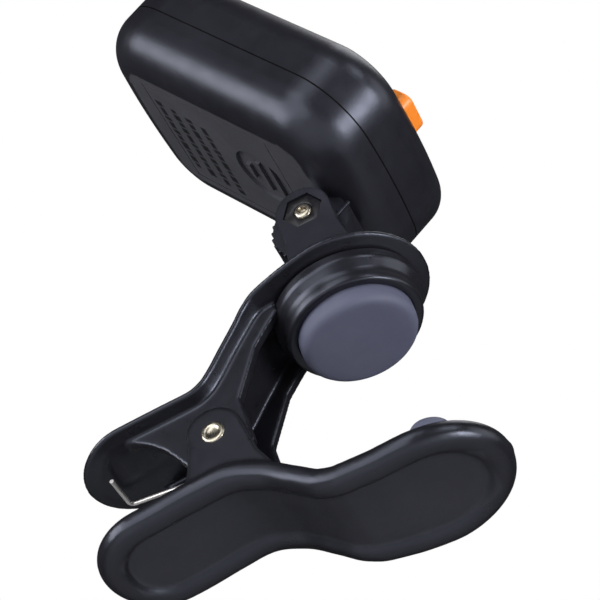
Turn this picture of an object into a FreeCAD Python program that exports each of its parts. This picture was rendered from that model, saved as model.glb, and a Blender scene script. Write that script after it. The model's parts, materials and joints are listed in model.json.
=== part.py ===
import FreeCAD, Part
import math
import os
import Sketcher
from FreeCAD import Placement, Rotation, Vector

# A clip-on tuner: a display head on a tilting and swivelling hinge, carried by a sprung two-lever clip.
# Millimetres. The origin is the centre of the lower pad's clamping face, +Z is that face's outward
# normal, +X runs from the pivot to the jaw tips and +Y along the pivot.
# Three local frames are used besides it, all with their Y axis along the pivot:
#   lower frame: origin on the pivot, axes as the row's
#   upper frame: origin on the pivot, turned by the angle at which the jaws stand open
#   head frame:  origin on the tilt axis, X towards the hinge end of the head, Z out of the display

DIMENSIONS = {
    # bite: how far an added feature reaches into the one it joins; past: how far a cut runs out
    # clip, both levers
    "pivot_back": 25.8, "pivot_rise": 3.7, "open_angle": 10.0, "bend_radius": 3.0,
    "rim_fillet": 0.9, "lip_fillet": 0.5, "bite": 0.1, "past": 1.0, "hex_half_turn": 30.0,
    # lower lever, in the lower frame
    "lower_tail": 19.4, "lower_tail_drop": 12.9, "lower_bend_x": 0.9, "lower_bend_drop": 8.3,
    "lower_neck_x": 14.5, "lower_face_drop": 15.0, "lower_thick": 3.0, "lower_jaw_x": 25.8,
    "lower_half_width": 9.8, "lower_jaw_radius": 10.0, "lower_end_radius": 9.0, "neck_shift": 0.8,
    "lower_rim_width": 2.0, "lower_recess": 1.2, "lower_ear_inner": 6.8, "lower_ear_outer": 8.2,
    "lower_ear_radius": 3.8, "lower_ear_foot": 9.0, "lower_boss_radius": 4.4,
    "lower_boss_drop": 8.3, "lower_pad_radius": 2.9, "lower_pad_seat": 1.0,
    # upper lever, in the upper frame
    "upper_tail": 20.0, "lever_top": 7.9, "lever_thick": 2.0, "rise_start": 0.8, "rise_end": 10.8,
    "slope_shift": 2.0, "disc_x": 21.1, "disc_top": 18.4, "disc_thick": 1.8, "disc_radius": 12.0,
    "upper_half_width": 8.5, "tail_radius": 8.2, "upper_ear_inner": 4.9, "upper_ear_outer": 6.5,
    "upper_ear_front": 4.4, "upper_ear_low": 4.1, "upper_ear_chin": 2.2, "upper_ear_back": 9.3,
    "upper_ear_end": 11.0, "upper_ear_knee": 4.8, "upper_ear_top": 13.4, "upper_ear_shoulder": 2.9,
    "upper_ear_dip": 0.4, "upper_ear_lap": 0.3, "upper_ear_bury": 1.0,
    # pads
    "cup_radius": 10.3, "cup_neck": 9.4, "cup_face": 12.0, "cup_flange": 15.2, "cup_chamfer": 14.0,
    "cup_seat": 14.2, "cup_bore": 4.2, "cup_room": 0.05, "pad_radius": 8.0, "pad_face": 9.5,
    "pad_edge": 1.0, "cup_edge": 0.5,
    # pivot rivet and spring
    "rivet_radius": 1.2, "rivet_bore": 0.8, "rivet_head": 1.6, "rivet_head_thick": 0.35,
    "pivot_play": 0.05, "coil_outer": 2.74, "coil_inner": 2.06, "coil_half": 3.3,
    "wire_radius": 0.28, "foot_wire": 0.32, "leg_radius_at_coil": 2.4, "leg_length": 16.3,
    "leg_side": 3.0, "upper_leg_angle": 8.0, "lower_leg_angle": 20.5, "foot_length": 6.0,
    # swivel and hinge yoke, in the upper frame
    "foot_radius": 9.6, "foot_bottom": 18.6, "foot_rim": 19.6, "foot_shoulder": 5.6,
    "foot_top": 22.0, "tilt_height": 29.8, "ear_half": 3.9, "ear_inner": 3.7, "ear_outer": 6.6,
    "swivel_shank": 1.5, "swivel_clearance": 0.1, "swivel_head": 2.9, "swivel_head_low": 14.5,
    "swivel_washer_low": 15.9, "swivel_washer_high": 16.45, "swivel_washer_radius": 3.6,
    "swivel_depth": 21.2, "swivel_drive": 1.0, "swivel_drive_deep": 0.7, "pin_radius": 1.25,
    "pin_head": 2.3, "pin_head_thick": 1.5, "nut_flats": 5.0, "nut_deep": 1.9, "nut_thick": 1.7,
    "nut_play": 0.05, "washer_inner": 3.42, "washer_outer": 3.66, "washer_radius": 3.3,
    "pin_drive": 1.1,
    # head, in the head frame
    "head_tilt": 60.3, "head_top": 44.3, "head_end": 2.0, "head_bow": 1.8, "bow_radius": 80.0, "head_half": 18.0, "corner_radius": 9.5,
    "back_face": 4.4, "parting": 12.4, "front_face": 21.0, "back_round": 6.0, "front_round": 4.5,
    "wall": 1.6, "lug_radius": 5.5, "lug_half": 3.35, "lug_low": 2.6,
    # battery bay
    "bay_top": 36.0, "bay_end": 9.5, "bay_half": 10.6, "bay_wall": 1.2, "bay_floor": 10.8,
    "bay_back": 12.0, "door_play": 0.15, "door_thick": 1.5, "tongue_long": 1.2, "tongue_wide": 3.0,
    "tongue_thick": 0.7, "tongue_y": 6.0, "tongue_gap": 0.25, "slot_long": 1.9, "slot_deep": 2.2,
    "grip_radius": 5.2, "grip_centre": 15.5, "grip_deep": 0.5, "ridge_wide": 0.8, "ridge_step": 2.7,
    "ridge_first": 18.2, "ridge_half": 1.45, "ridge_growth": 1.6, "cell_radius": 10.0,
    "cell_thick": 3.2, "cell_low": 6.4, "cell_x": 22.8, "cell_cap_radius": 8.9, "cell_step": 0.25,
    "contact_thick": 0.25, "contact_half": 3.0, "contact_long": 8.0, "tongue_root": 1.2,
    "contact_fold": 0.75,
    # electronics
    "board_top": 41.0, "board_end": 0.4, "board_half": 14.5, "board_thick": 1.0,
    "board_corner": 5.0, "screw_x": 11.3, "screw_y": 8.6, "screw_radius": 0.95, "screw_head": 1.7,
    "screw_head_thick": 1.2, "screw_long": 6.0, "screw_play": 0.3, "boss_radius": 2.1,
    "drive_radius": 0.8, "drive_deep": 0.6, "glass_top": 39.3, "glass_end": 13.9,
    "glass_half": 13.1, "glass_low": 17.2, "glass_thick": 2.0, "guide_end": 16.5, "guide_low": 15.2,
    "guide_thick": 1.9, "strip_end": 14.1, "strip_wide": 1.8, "strip_inset": 1.0,
    "window_top": 39.2, "window_end": 13.6, "window_half": 13.0, "window_thick": 1.3,
    "window_ledge": 1.0, "window_sink": 0.2, "chip_side": 7.0, "chip_thick": 1.0, "chip_x": 27.0,
    "piezo_radius": 3.6, "piezo_thick": 0.4, "piezo_x": 4.5, "piezo_seat": 1.0, "button_x": -1.8, "button_y": 2.5,
    "button_wide": 4.2, "button_long": 6.8, "button_top": 22.7, "button_play": 0.2,
    "button_corner": 1.4, "flange_extra": 0.5, "flange_low": 16.5, "flange_high": 17.1,
    "switch_side": 3.6, "switch_body": 2.6, "switch_plunger": 1.2, "switch_top": 16.0,
    "part_long": 1.6, "part_wide": 0.9, "part_thick": 0.6, "part_pitch": 3.2, "part_row": 10.5,
    "button_edge": 0.45,
}


class Size:
    """A number together with the spreadsheet expression that it comes from."""

    def __init__(self, value, text):
        self.value = value
        self.text = text

    def __add__(self, other):
        other = as_size(other)
        return Size(self.value + other.value, f"({self.text} + {other.text})")

    def __sub__(self, other):
        other = as_size(other)
        return Size(self.value - other.value, f"({self.text} - {other.text})")

    def __mul__(self, other):
        other = as_size(other)
        return Size(self.value * other.value, f"({self.text} * {other.text})")

    def __truediv__(self, other):
        other = as_size(other)
        return Size(self.value / other.value, f"({self.text} / {other.text})")

    def __neg__(self):
        return Size(-self.value, f"(-1 * {self.text})")


def as_size(item):
    return item if isinstance(item, Size) else Size(float(item), f"{float(item)}")


def cosine(angle):
    return Size(math.cos(math.radians(angle.value)), f"cos({angle.text})")


def sine(angle):
    return Size(math.sin(math.radians(angle.value)), f"sin({angle.text})")


class Sheet:
    """The document's spreadsheet, whose cells are read as attributes."""

    def __init__(self, doc):
        cells = doc.addObject("Spreadsheet::Sheet", "params")
        for row, (name, value) in enumerate(DIMENSIONS.items(), start=1):
            cells.set(f"A{row}", name)
            cells.set(f"B{row}", str(value))
            cells.setAlias(f"B{row}", name)

    def __getattr__(self, name):
        return Size(DIMENSIONS[name], f"params.{name}")


doc = FreeCAD.newDocument("clip_on_tuner")
size = Sheet(doc)
doc.recompute()
subparts = []


def bind(thing, prop, amount):
    """Give a property its value and tie it to the sheet."""
    amount = as_size(amount)
    thing.setExpression(prop, amount.text)


# ---- frames ----

class Frame:
    """A place and a turn about Y, both worked out from the sheet."""

    def __init__(self, x, z, turn):
        self.x = x
        self.z = z
        self.turn = turn

    def put(self, thing):
        place = Vector(self.x.value, 0, self.z.value)
        thing.Placement = Placement(place, Rotation(Vector(0, 1, 0), self.turn.value))
        bind(thing, "Placement.Base.x", self.x)
        bind(thing, "Placement.Base.z", self.z)
        bind(thing, "Placement.Rotation.Angle", self.turn)


def upper_point(x, z):
    """A point of the upper frame, in the row frame."""
    turn = size.open_angle
    row_x = x * cosine(turn) - z * sine(turn) - size.pivot_back
    row_z = x * sine(turn) + z * cosine(turn) + size.pivot_rise
    return row_x, row_z


lower_frame = Frame(-size.pivot_back, size.pivot_rise, as_size(0))
# The axis is +Y, so a jaw that stands open has a negative turn, which is given as 360 less.
upper_frame = Frame(-size.pivot_back, size.pivot_rise, as_size(360) - size.open_angle)
tilt_x, tilt_z = upper_point(size.disc_x, size.tilt_height)
head_frame = Frame(tilt_x, tilt_z, size.head_tilt - size.open_angle)


# ---- sketches and features ----

def new_body(label):
    return doc.addObject("PartDesign::Body", label)


def sketch_on(body, role, lift=0):
    """A sketch on one of the body's origin planes, lifted along that plane's normal."""
    sketch = body.newObject("Sketcher::SketchObject", f"{body.Name}_sketch")
    plane = next(item for item in body.Origin.OriginFeatures if item.Role == role)
    sketch.AttachmentSupport = [(plane, "")]
    sketch.MapMode = "FlatFace"
    sketch.AttachmentOffset = Placement(Vector(0, 0, as_size(lift).value), Rotation())
    bind(sketch, "AttachmentOffset.Base.z", lift)
    return sketch


def lock(sketch, geometry, point, x, y):
    """Hold one point of the sketch at (x, y)."""
    for kind, amount in (("DistanceX", x), ("DistanceY", y)):
        amount = as_size(amount)
        index = sketch.addConstraint(Sketcher.Constraint(kind, -1, 1, geometry, point, amount.value))
        bind(sketch, f"Constraints[{index}]", amount)


def draw_circle(sketch, x, y, radius):
    x, y, radius = as_size(x), as_size(y), as_size(radius)
    circle = Part.Circle(Vector(x.value, y.value, 0), Vector(0, 0, 1), radius.value)
    geometry = sketch.addGeometry(circle, False)
    lock(sketch, geometry, 3, x, y)
    index = sketch.addConstraint(Sketcher.Constraint("Radius", geometry, radius.value))
    bind(sketch, f"Constraints[{index}]", radius)


def draw_polygon(sketch, corners):
    corners = [(as_size(x), as_size(y)) for x, y in corners]
    points = [Vector(x.value, y.value, 0) for x, y in corners]
    first = sketch.GeometryCount
    for start, end in zip(points, points[1:] + points[:1]):
        sketch.addGeometry(Part.LineSegment(start, end), False)
    for index, (x, y) in enumerate(corners):
        following = first + (index + 1) % len(corners)
        sketch.addConstraint(Sketcher.Constraint("Coincident", first + index, 2, following, 1))
        lock(sketch, first + index, 1, x, y)


def draw_box(sketch, x0, x1, y0, y1):
    draw_polygon(sketch, [(x0, y0), (x1, y0), (x1, y1), (x0, y1)])


def pad(body, sketch, length, midplane=False):
    feature = body.newObject("PartDesign::Pad", f"{body.Name}_pad")
    feature.Profile = sketch
    feature.Midplane = midplane
    bind(feature, "Length", length)
    doc.recompute()
    return feature


def pocket(body, sketch, length, away=False):
    """Cut into the solid, against the sketch's normal or along it, and check that it removes some."""
    before = body.Shape.Volume
    feature = body.newObject("PartDesign::Pocket", f"{body.Name}_pocket")
    feature.Profile = sketch
    feature.Reversed = away
    bind(feature, "Length", length)
    doc.recompute()
    if body.Shape.Volume > before - 1e-6:
        raise ValueError(f"a pocket of {body.Label} removes nothing")
    return feature


def revolve(body, corners):
    """A turned piece: its half section, in X and Z, goes round the body's Z axis."""
    sketch = sketch_on(body, "XZ_Plane")
    draw_polygon(sketch, corners)
    feature = body.newObject("PartDesign::Revolution", f"{body.Name}_turned")
    feature.Profile = sketch
    feature.ReferenceAxis = (sketch, ["V_Axis"])
    doc.recompute()
    return feature


def round_edges(body, radius, wanted):
    """Fillet the edges of the body's tip for which wanted(edge) is true."""
    tip = body.Tip
    names = [f"Edge{n}" for n, edge in enumerate(tip.Shape.Edges, start=1) if wanted(edge)]
    if not names:
        raise ValueError(f"no edges to round on {body.Label}")
    feature = body.newObject("PartDesign::Fillet", f"{body.Name}_round")
    feature.Base = (tip, names)
    bind(feature, "Radius", radius)
    doc.recompute()
    if feature.Shape.isNull():
        raise ValueError(f"a fillet of {body.Label} failed")
    return feature


def hollow(body, wall, wanted):
    """Shell the body inwards, leaving open the faces for which wanted(face) is true."""
    tip = body.Tip
    names = [f"Face{n}" for n, face in enumerate(tip.Shape.Faces, start=1) if wanted(face)]
    feature = body.newObject("PartDesign::Thickness", f"{body.Name}_hollow")
    feature.Base = (tip, names)
    feature.Reversed = True
    bind(feature, "Value", wall)
    doc.recompute()
    return feature


def near(a, b, slack=1e-4):
    return abs(a - as_size(b).value) < slack


def flat_at(edge, z):
    """True for an edge that lies at one height."""
    return near(edge.BoundBox.ZMin, z) and near(edge.BoundBox.ZMax, z)


def along_y(edge, x, z):
    box = edge.BoundBox
    return near(box.XMin, x) and near(box.XMax, x) and near(box.ZMin, z) and near(box.ZMax, z)


def upright(edge):
    box = edge.BoundBox
    return near(box.XMin, box.XMax) and near(box.YMin, box.YMax) and box.ZLength > 0.5


def keep(thing, label, frame):
    """Name a finished sub-part, place it and add it to the list that is written out."""
    thing.Label = label
    frame.put(thing)
    subparts.append(thing)
    return thing


# ---- plain solids ----

TURNS = {
    "z": Rotation(),
    "y": Rotation(Vector(1, 0, 0), -90),
}


def solid_cylinder(radius, length, x=0, y=0, z=0, along="z"):
    item = doc.addObject("Part::Cylinder", "cylinder")
    bind(item, "Radius", radius)
    bind(item, "Height", length)
    item.Placement = Placement(Vector(*(as_size(v).value for v in (x, y, z))), TURNS[along])
    for name, value in zip("xyz", (x, y, z)):
        bind(item, f"Placement.Base.{name}", value)
    return item


def solid_box(x0, x1, y0, y1, z0, z1):
    low = [as_size(v) for v in (x0, y0, z0)]
    high = [as_size(v) for v in (x1, y1, z1)]
    item = doc.addObject("Part::Box", "box")
    for prop, a, b in zip(("Length", "Width", "Height"), low, high):
        bind(item, prop, b - a)
    for name, value in zip("xyz", low):
        bind(item, f"Placement.Base.{name}", value)
    return item


def joined(*items):
    result = doc.addObject("Part::MultiFuse", "joined")
    result.Shapes = list(items)
    return result


def grouped(*items):
    result = doc.addObject("Part::Compound", "grouped")
    result.Links = list(items)
    return result


def less(base, *tools):
    result = doc.addObject("Part::Cut", "less")
    result.Base = base
    result.Tool = tools[0] if len(tools) == 1 else joined(*tools)
    return result


# ---- the clip ----

def lower_arm():
    body = new_body("lower_arm")
    face = -size.lower_face_drop
    jaw_inner = face + size.lower_thick
    tip = size.lower_jaw_x + size.lower_jaw_radius
    neck_inner = size.lower_neck_x + size.neck_shift
    bend_inner = size.lower_bend_x + size.neck_shift
    bend_top = size.lower_thick - size.lower_bend_drop
    profile = sketch_on(body, "XZ_Plane")
    draw_polygon(profile, [
        (-size.lower_tail, -size.lower_tail_drop),
        (size.lower_bend_x, -size.lower_bend_drop),
        (size.lower_neck_x, face),
        (tip, face),
        (tip, jaw_inner),
        (neck_inner, jaw_inner),
        (bend_inner, bend_top),
        (-size.lower_tail, size.lower_thick - size.lower_tail_drop),
    ])
    pad(body, profile, size.lower_half_width * 2, midplane=True)
    round_edges(body, size.lower_end_radius, upright)
    bends = [(size.lower_bend_x, -size.lower_bend_drop), (size.lower_neck_x, face),
             (neck_inner, jaw_inner), (bend_inner, bend_top)]
    round_edges(body, size.bend_radius, lambda e: any(along_y(e, x, z) for x, z in bends))
    middle = size.lower_jaw_x.value
    round_edges(body, size.rim_fillet, lambda e: flat_at(e, face) and e.BoundBox.XMax > middle)
    recess = sketch_on(body, "XY_Plane", face)
    draw_circle(recess, size.lower_jaw_x, 0, size.lower_half_width - size.lower_rim_width)
    pocket(body, recess, size.lower_recess, away=True)
    boss = sketch_on(body, "XY_Plane", jaw_inner - size.bite)
    draw_circle(boss, size.lower_jaw_x, 0, size.lower_boss_radius)
    pad(body, boss, -size.lower_boss_drop - jaw_inner + size.bite)
    seat = sketch_on(body, "XY_Plane", -size.lower_boss_drop)
    draw_circle(seat, size.lower_jaw_x, 0, size.lower_pad_radius)
    pocket(body, seat, size.lower_pad_seat)
    ear_thick = size.lower_ear_outer - size.lower_ear_inner
    for lift in (size.lower_ear_inner, -size.lower_ear_outer):
        web = sketch_on(body, "XZ_Plane", lift)
        draw_polygon(web, [
            (-size.lower_ear_foot, -size.lower_bend_drop),
            (size.lower_ear_foot, -size.lower_bend_drop - size.lower_thick),
            (size.lower_ear_radius, 0),
            (-size.lower_ear_radius, 0),
        ])
        pad(body, web, ear_thick)
        top = sketch_on(body, "XZ_Plane", lift)
        draw_circle(top, 0, 0, size.lower_ear_radius)
        pad(body, top, ear_thick)
    bore = sketch_on(body, "XZ_Plane", -size.lower_ear_outer - size.past)
    draw_circle(bore, 0, 0, size.rivet_radius)
    pocket(body, bore, (size.lower_ear_outer + size.past) * 2, away=True)
    return keep(body, "lower_arm", lower_frame)


def upper_arm():
    body = new_body("upper_arm")
    inner = size.lever_top - size.lever_thick
    disc_low = size.disc_top - size.disc_thick
    start_low = size.rise_start + size.slope_shift
    end_low = size.rise_end + size.slope_shift
    profile = sketch_on(body, "XZ_Plane")
    draw_polygon(profile, [
        (-size.upper_tail, inner),
        (start_low, inner),
        (end_low, disc_low),
        (size.disc_x, disc_low),
        (size.disc_x, size.disc_top),
        (size.rise_end, size.disc_top),
        (size.rise_start, size.lever_top),
        (-size.upper_tail, size.lever_top),
    ])
    pad(body, profile, size.upper_half_width * 2, midplane=True)
    round_edges(body, size.tail_radius, lambda e: upright(e) and near(e.BoundBox.XMax, -size.upper_tail))
    bends = [(start_low, inner), (end_low, disc_low), (size.rise_end, size.disc_top),
             (size.rise_start, size.lever_top)]
    round_edges(body, size.bend_radius, lambda e: any(along_y(e, x, z) for x, z in bends))
    disc = sketch_on(body, "XY_Plane", disc_low)
    draw_circle(disc, size.disc_x, 0, size.disc_radius)
    pad(body, disc, size.disc_thick)
    lip_x = size.disc_x + size.disc_radius
    round_edges(body, size.lip_fillet, lambda e: near(e.BoundBox.XMax, lip_x) and flat_at(e, disc_low))
    ear_thick = size.upper_ear_outer - size.upper_ear_inner
    for lift in (size.upper_ear_inner, -size.upper_ear_outer):
        ear = sketch_on(body, "XZ_Plane", lift)
        draw_polygon(ear, [
            (-size.rise_end, inner + size.upper_ear_bury),
            (-size.upper_ear_back, size.upper_ear_shoulder),
            (-size.upper_ear_knee, -size.upper_ear_chin),
            (-size.upper_ear_chin, -size.upper_ear_low),
            (size.upper_ear_chin, -size.upper_ear_low),
            (size.upper_ear_front, -size.upper_ear_chin),
            (size.upper_ear_front, size.upper_ear_knee),
            (size.upper_ear_end, size.upper_ear_top),
            (size.upper_ear_end, disc_low - size.upper_ear_dip),
            (end_low, disc_low + size.upper_ear_lap),
            (size.rise_start, inner + size.upper_ear_bury),
        ])
        pad(body, ear, ear_thick)
    cup = sketch_on(body, "XY_Plane", disc_low)
    draw_circle(cup, size.disc_x, 0, size.cup_radius + size.cup_room)
    pocket(body, cup, disc_low - size.lever_top)
    bore = sketch_on(body, "XZ_Plane", -size.upper_ear_outer - size.past)
    draw_circle(bore, 0, 0, size.rivet_radius + size.pivot_play)
    pocket(body, bore, (size.upper_ear_outer + size.past) * 2, away=True)
    swivel = sketch_on(body, "XY_Plane", size.disc_top)
    draw_circle(swivel, size.disc_x, 0, size.swivel_shank + size.swivel_clearance)
    pocket(body, swivel, size.disc_thick)
    return keep(body, "upper_arm", upper_frame)


def pivot_rivet():
    reach = size.lower_ear_outer + size.rivet_head_thick
    shank = solid_cylinder(size.rivet_radius, reach * 2, y=-reach, along="y")
    heads = [solid_cylinder(size.rivet_head, size.rivet_head_thick, y=y, along="y")
             for y in (-reach, size.lower_ear_outer)]
    hole = solid_cylinder(size.rivet_bore, (reach + size.past) * 2, y=-reach - size.past, along="y")
    return keep(less(joined(shank, *heads), hole), "pivot_rivet", lower_frame)


def spring_leg(angle, side, foot_side):
    """One leg of the torsion spring, with its turned foot, as two straight rods."""
    length = size.leg_length
    leg = solid_cylinder(size.wire_radius, length, y=side)
    foot = solid_cylinder(size.foot_wire, size.foot_length, along="y")
    turned = Rotation(Vector(0, 1, 0), -90 - angle.value)
    outward = turned.multVec(Vector(0, 0, 1))
    across = Vector(outward.z, 0, -outward.x) * (-1 if angle.value < 0 else 1)
    start = across * size.leg_radius_at_coil.value
    if (start.z > 0) != (side.value > 0):
        start = start * -1
    start.y = side.value
    leg.setExpression("Placement.Base.x", None)
    leg.setExpression("Placement.Base.z", None)
    leg.Placement = Placement(start, turned)
    end = start + outward * length.value
    for name in "xyz":
        foot.setExpression(f"Placement.Base.{name}", None)
    low = min(side.value, side.value + foot_side * size.foot_length.value)
    foot.Placement = Placement(Vector(end.x, low, end.z), TURNS["y"])
    return leg, foot


def torsion_spring():
    coil = solid_cylinder(size.coil_outer, size.coil_half * 2, y=-size.coil_half, along="y")
    eye_half = size.coil_half + size.past
    eye = solid_cylinder(size.coil_inner, eye_half * 2, y=-eye_half, along="y")
    upper = spring_leg(-size.upper_leg_angle + size.open_angle, size.leg_side, -1)
    lower = spring_leg(size.lower_leg_angle, -size.leg_side, 1)
    return keep(joined(less(coil, eye), *upper, *lower), "torsion_spring", lower_frame)


def lower_pad():
    bottom = -size.lower_boss_drop - size.lower_pad_seat
    top = as_size(0)
    body = new_body("lower_pad")
    disc = sketch_on(body, "XY_Plane", bottom + size.pivot_rise)
    draw_circle(disc, 0, 0, size.lower_pad_radius)
    pad(body, disc, top - bottom - size.pivot_rise)
    round_edges(body, size.pad_edge, lambda e: flat_at(e, 0))
    return keep(body, "lower_pad", Frame(as_size(0), as_size(0), as_size(0)))


disc_frame_x, disc_frame_z = upper_point(size.disc_x, as_size(0))
disc_frame = Frame(disc_frame_x, disc_frame_z, as_size(360) - size.open_angle)


def pad_cup():
    """Turned about the swivel axis, like everything below that uses disc_frame."""
    body = new_body("pad_cup")
    top = size.disc_top - size.disc_thick
    revolve(body, [
        (size.cup_bore, top),
        (size.cup_bore, size.cup_seat),
        (size.pad_radius, size.cup_seat),
        (size.pad_radius, size.cup_face),
        (size.cup_neck - size.cup_edge, size.cup_face),
        (size.cup_neck, size.cup_face + size.cup_edge),
        (size.cup_neck, size.cup_chamfer),
        (size.cup_radius, size.cup_flange),
        (size.cup_radius, top),
    ])
    return keep(body, "pad_cup", disc_frame)


def upper_pad():
    body = new_body("upper_pad")
    revolve(body, [
        (0, size.pad_face),
        (size.pad_radius - size.pad_edge, size.pad_face),
        (size.pad_radius, size.pad_face + size.pad_edge),
        (size.pad_radius, size.cup_seat),
        (0, size.cup_seat),
    ])
    return keep(body, "upper_pad", disc_frame)


# ---- the hinge ----

def hinge_yoke():
    body = new_body("hinge_yoke")
    revolve(body, [
        (0, size.foot_bottom),
        (size.foot_radius, size.foot_bottom),
        (size.foot_radius, size.foot_rim),
        (size.foot_shoulder, size.foot_top),
        (0, size.foot_top),
    ])
    ear_thick = size.ear_outer - size.ear_inner
    for lift in (size.ear_inner, -size.ear_outer):
        ear = sketch_on(body, "XZ_Plane", lift)
        draw_box(ear, -size.ear_half, size.ear_half, size.foot_rim, size.tilt_height)
        pad(body, ear, ear_thick)
        top = sketch_on(body, "XZ_Plane", lift)
        draw_circle(top, 0, size.tilt_height, size.ear_half)
        pad(body, top, ear_thick)
    bore = sketch_on(body, "XZ_Plane", -size.ear_outer - size.past)
    draw_circle(bore, 0, size.tilt_height, size.pin_radius)
    pocket(body, bore, (size.ear_outer + size.past) * 2, away=True)
    across = size.nut_flats / 2 + size.nut_play
    corner = across / cosine(size.hex_half_turn)
    nut = sketch_on(body, "XZ_Plane", size.ear_outer)
    draw_polygon(nut, hexagon(as_size(0), size.tilt_height, corner))
    pocket(body, nut, size.nut_deep)
    thread = sketch_on(body, "XY_Plane", size.foot_bottom)
    draw_circle(thread, 0, 0, size.swivel_shank)
    pocket(body, thread, size.swivel_depth - size.foot_bottom, away=True)
    return keep(body, "hinge_yoke", disc_frame)


def hexagon(x, y, corner):
    """Six corners about (x, y), with one straight to the right."""
    turns = [size.hex_half_turn * (n * 2) for n in range(6)]
    return [(x + corner * cosine(turn), y + corner * sine(turn)) for turn in turns]


def hinge_screw():
    shank = solid_cylinder(size.pin_radius, size.ear_outer * 2, y=-size.ear_outer, along="y")
    head = solid_cylinder(size.pin_head, size.pin_head_thick, y=size.ear_outer, along="y")
    drive_y = size.ear_outer + size.pin_head_thick - size.drive_deep
    drive = solid_cylinder(size.pin_drive, size.drive_deep + size.past, y=drive_y, along="y")
    return keep(less(joined(shank, head), drive), "hinge_screw", Frame(tilt_x, tilt_z, upper_frame.turn))


def hinge_nut():
    body = new_body("hinge_nut")
    low = size.ear_outer - size.nut_deep
    nut = sketch_on(body, "XZ_Plane", low)
    draw_polygon(nut, hexagon(as_size(0), as_size(0), size.nut_flats / 2 / cosine(size.hex_half_turn)))
    draw_circle(nut, 0, 0, size.pin_radius)
    pad(body, nut, size.nut_thick)
    return keep(body, "hinge_nut", Frame(tilt_x, tilt_z, upper_frame.turn))


def friction_washers():
    thick = size.washer_outer - size.washer_inner
    rings = []
    for y in (size.washer_inner, -size.washer_outer):
        disc = solid_cylinder(size.washer_radius, thick, y=y, along="y")
        hole = solid_cylinder(size.pin_radius, thick + size.past * 2, y=y - size.past, along="y")
        rings.append(less(disc, hole))
    return keep(grouped(*rings), "friction_washers", Frame(tilt_x, tilt_z, upper_frame.turn))


def swivel_screw():
    body = new_body("swivel_screw")
    low = size.swivel_head_low
    revolve(body, [
        (0, low + size.swivel_drive_deep),
        (size.swivel_drive, low + size.swivel_drive_deep),
        (size.swivel_drive, low),
        (size.swivel_head, low),
        (size.swivel_head, size.swivel_washer_low),
        (size.swivel_shank, size.swivel_washer_low),
        (size.swivel_shank, size.swivel_depth),
        (0, size.swivel_depth),
    ])
    return keep(body, "swivel_screw", disc_frame)


def swivel_washer():
    thick = size.swivel_washer_high - size.swivel_washer_low
    disc = solid_cylinder(size.swivel_washer_radius, thick, z=size.swivel_washer_low)
    hole = solid_cylinder(size.swivel_shank, thick + size.past * 2, z=size.swivel_washer_low - size.past)
    return keep(less(disc, hole), "swivel_washer", disc_frame)


# ---- the head's casing ----

def slab(label, x0, x1, half, low, high):
    """A plain slab of the head, centred across it."""
    body = new_body(label)
    sketch = sketch_on(body, "XY_Plane", low)
    draw_box(sketch, x0, x1, -half, half)
    pad(body, sketch, high - low)
    return keep(body, label, head_frame)


def rounded_slab(body, top, end, half, corner, low, high):
    """A slab from -top to end along the head, rounded in plan."""
    sketch = sketch_on(body, "XY_Plane", low)
    draw_box(sketch, -top, end, -half, half)
    pad(body, sketch, high - low)
    round_edges(body, corner, upright)


def casing_block(body, low, high):
    """The casing's solid outline: both ends bow outwards and the corners are rounded in plan."""
    top, end, half, bow = size.head_top, size.head_end, size.head_half, size.head_bow
    sketch = sketch_on(body, "XY_Plane", low)
    draw_polygon(sketch, [(-top, -half), (end, -half), (end + bow, 0),
                          (end, half), (-top, half), (-top - bow, 0)])
    pad(body, sketch, high - low)
    round_edges(body, size.bow_radius, lambda e: upright(e) and near(e.BoundBox.YMin, 0))
    round_edges(body, size.corner_radius, lambda e: upright(e) and near(abs(e.BoundBox.YMin), half))


def rear_shell():
    body = new_body("rear_shell")
    casing_block(body, size.back_face, size.parting)
    round_edges(body, size.back_round, lambda e: flat_at(e, size.back_face))
    hollow(body, size.wall, lambda f: flat_at(f, size.parting))
    bay_top, bay_end = size.bay_top + size.bay_wall, size.bay_wall - size.bay_end
    box = sketch_on(body, "XY_Plane", size.back_face + size.wall / 2)
    draw_box(box, -bay_top, bay_end, -size.bay_half - size.bay_wall, size.bay_half + size.bay_wall)
    pad(body, box, size.bay_back - size.back_face - size.wall / 2)
    bay = sketch_on(body, "XY_Plane", size.back_face)
    draw_box(bay, -size.bay_top, -size.bay_end, -size.bay_half, size.bay_half)
    pocket(body, bay, size.bay_floor - size.back_face, away=True)
    holes = sketch_on(body, "XY_Plane", size.bay_floor)
    slots = sketch_on(body, "XY_Plane", size.back_face + size.wall)
    for side in (-1, 1):
        draw_circle(holes, -size.screw_x, size.screw_y * side, size.screw_radius + size.screw_play)
        middle = size.tongue_y * side
        draw_box(slots, -size.bay_top - size.slot_long, -size.bay_top + size.bay_wall,
                 middle - size.tongue_wide / 2 - size.tongue_gap,
                 middle + size.tongue_wide / 2 + size.tongue_gap)
    pocket(body, holes, size.bay_back - size.bay_floor, away=True)
    pocket(body, slots, size.slot_deep, away=True)
    seat = sketch_on(body, "XY_Plane", size.back_face + size.wall / 2)
    draw_circle(seat, -size.piezo_x, 0, size.piezo_radius)
    pad(body, seat, size.wall / 2 + size.piezo_seat)
    block = sketch_on(body, "XZ_Plane")
    draw_box(block, -size.lug_radius, size.lug_low, 0, size.back_face + size.wall / 2)
    pad(body, block, size.lug_half * 2, midplane=True)
    knuckle = sketch_on(body, "XZ_Plane")
    draw_circle(knuckle, 0, 0, size.lug_radius)
    pad(body, knuckle, size.lug_half * 2, midplane=True)
    pin = sketch_on(body, "XZ_Plane", -size.lug_half - size.past)
    draw_circle(pin, 0, 0, size.pin_radius + size.pivot_play)
    pocket(body, pin, (size.lug_half + size.past) * 2, away=True)
    return keep(body, "rear_shell", head_frame)


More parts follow.
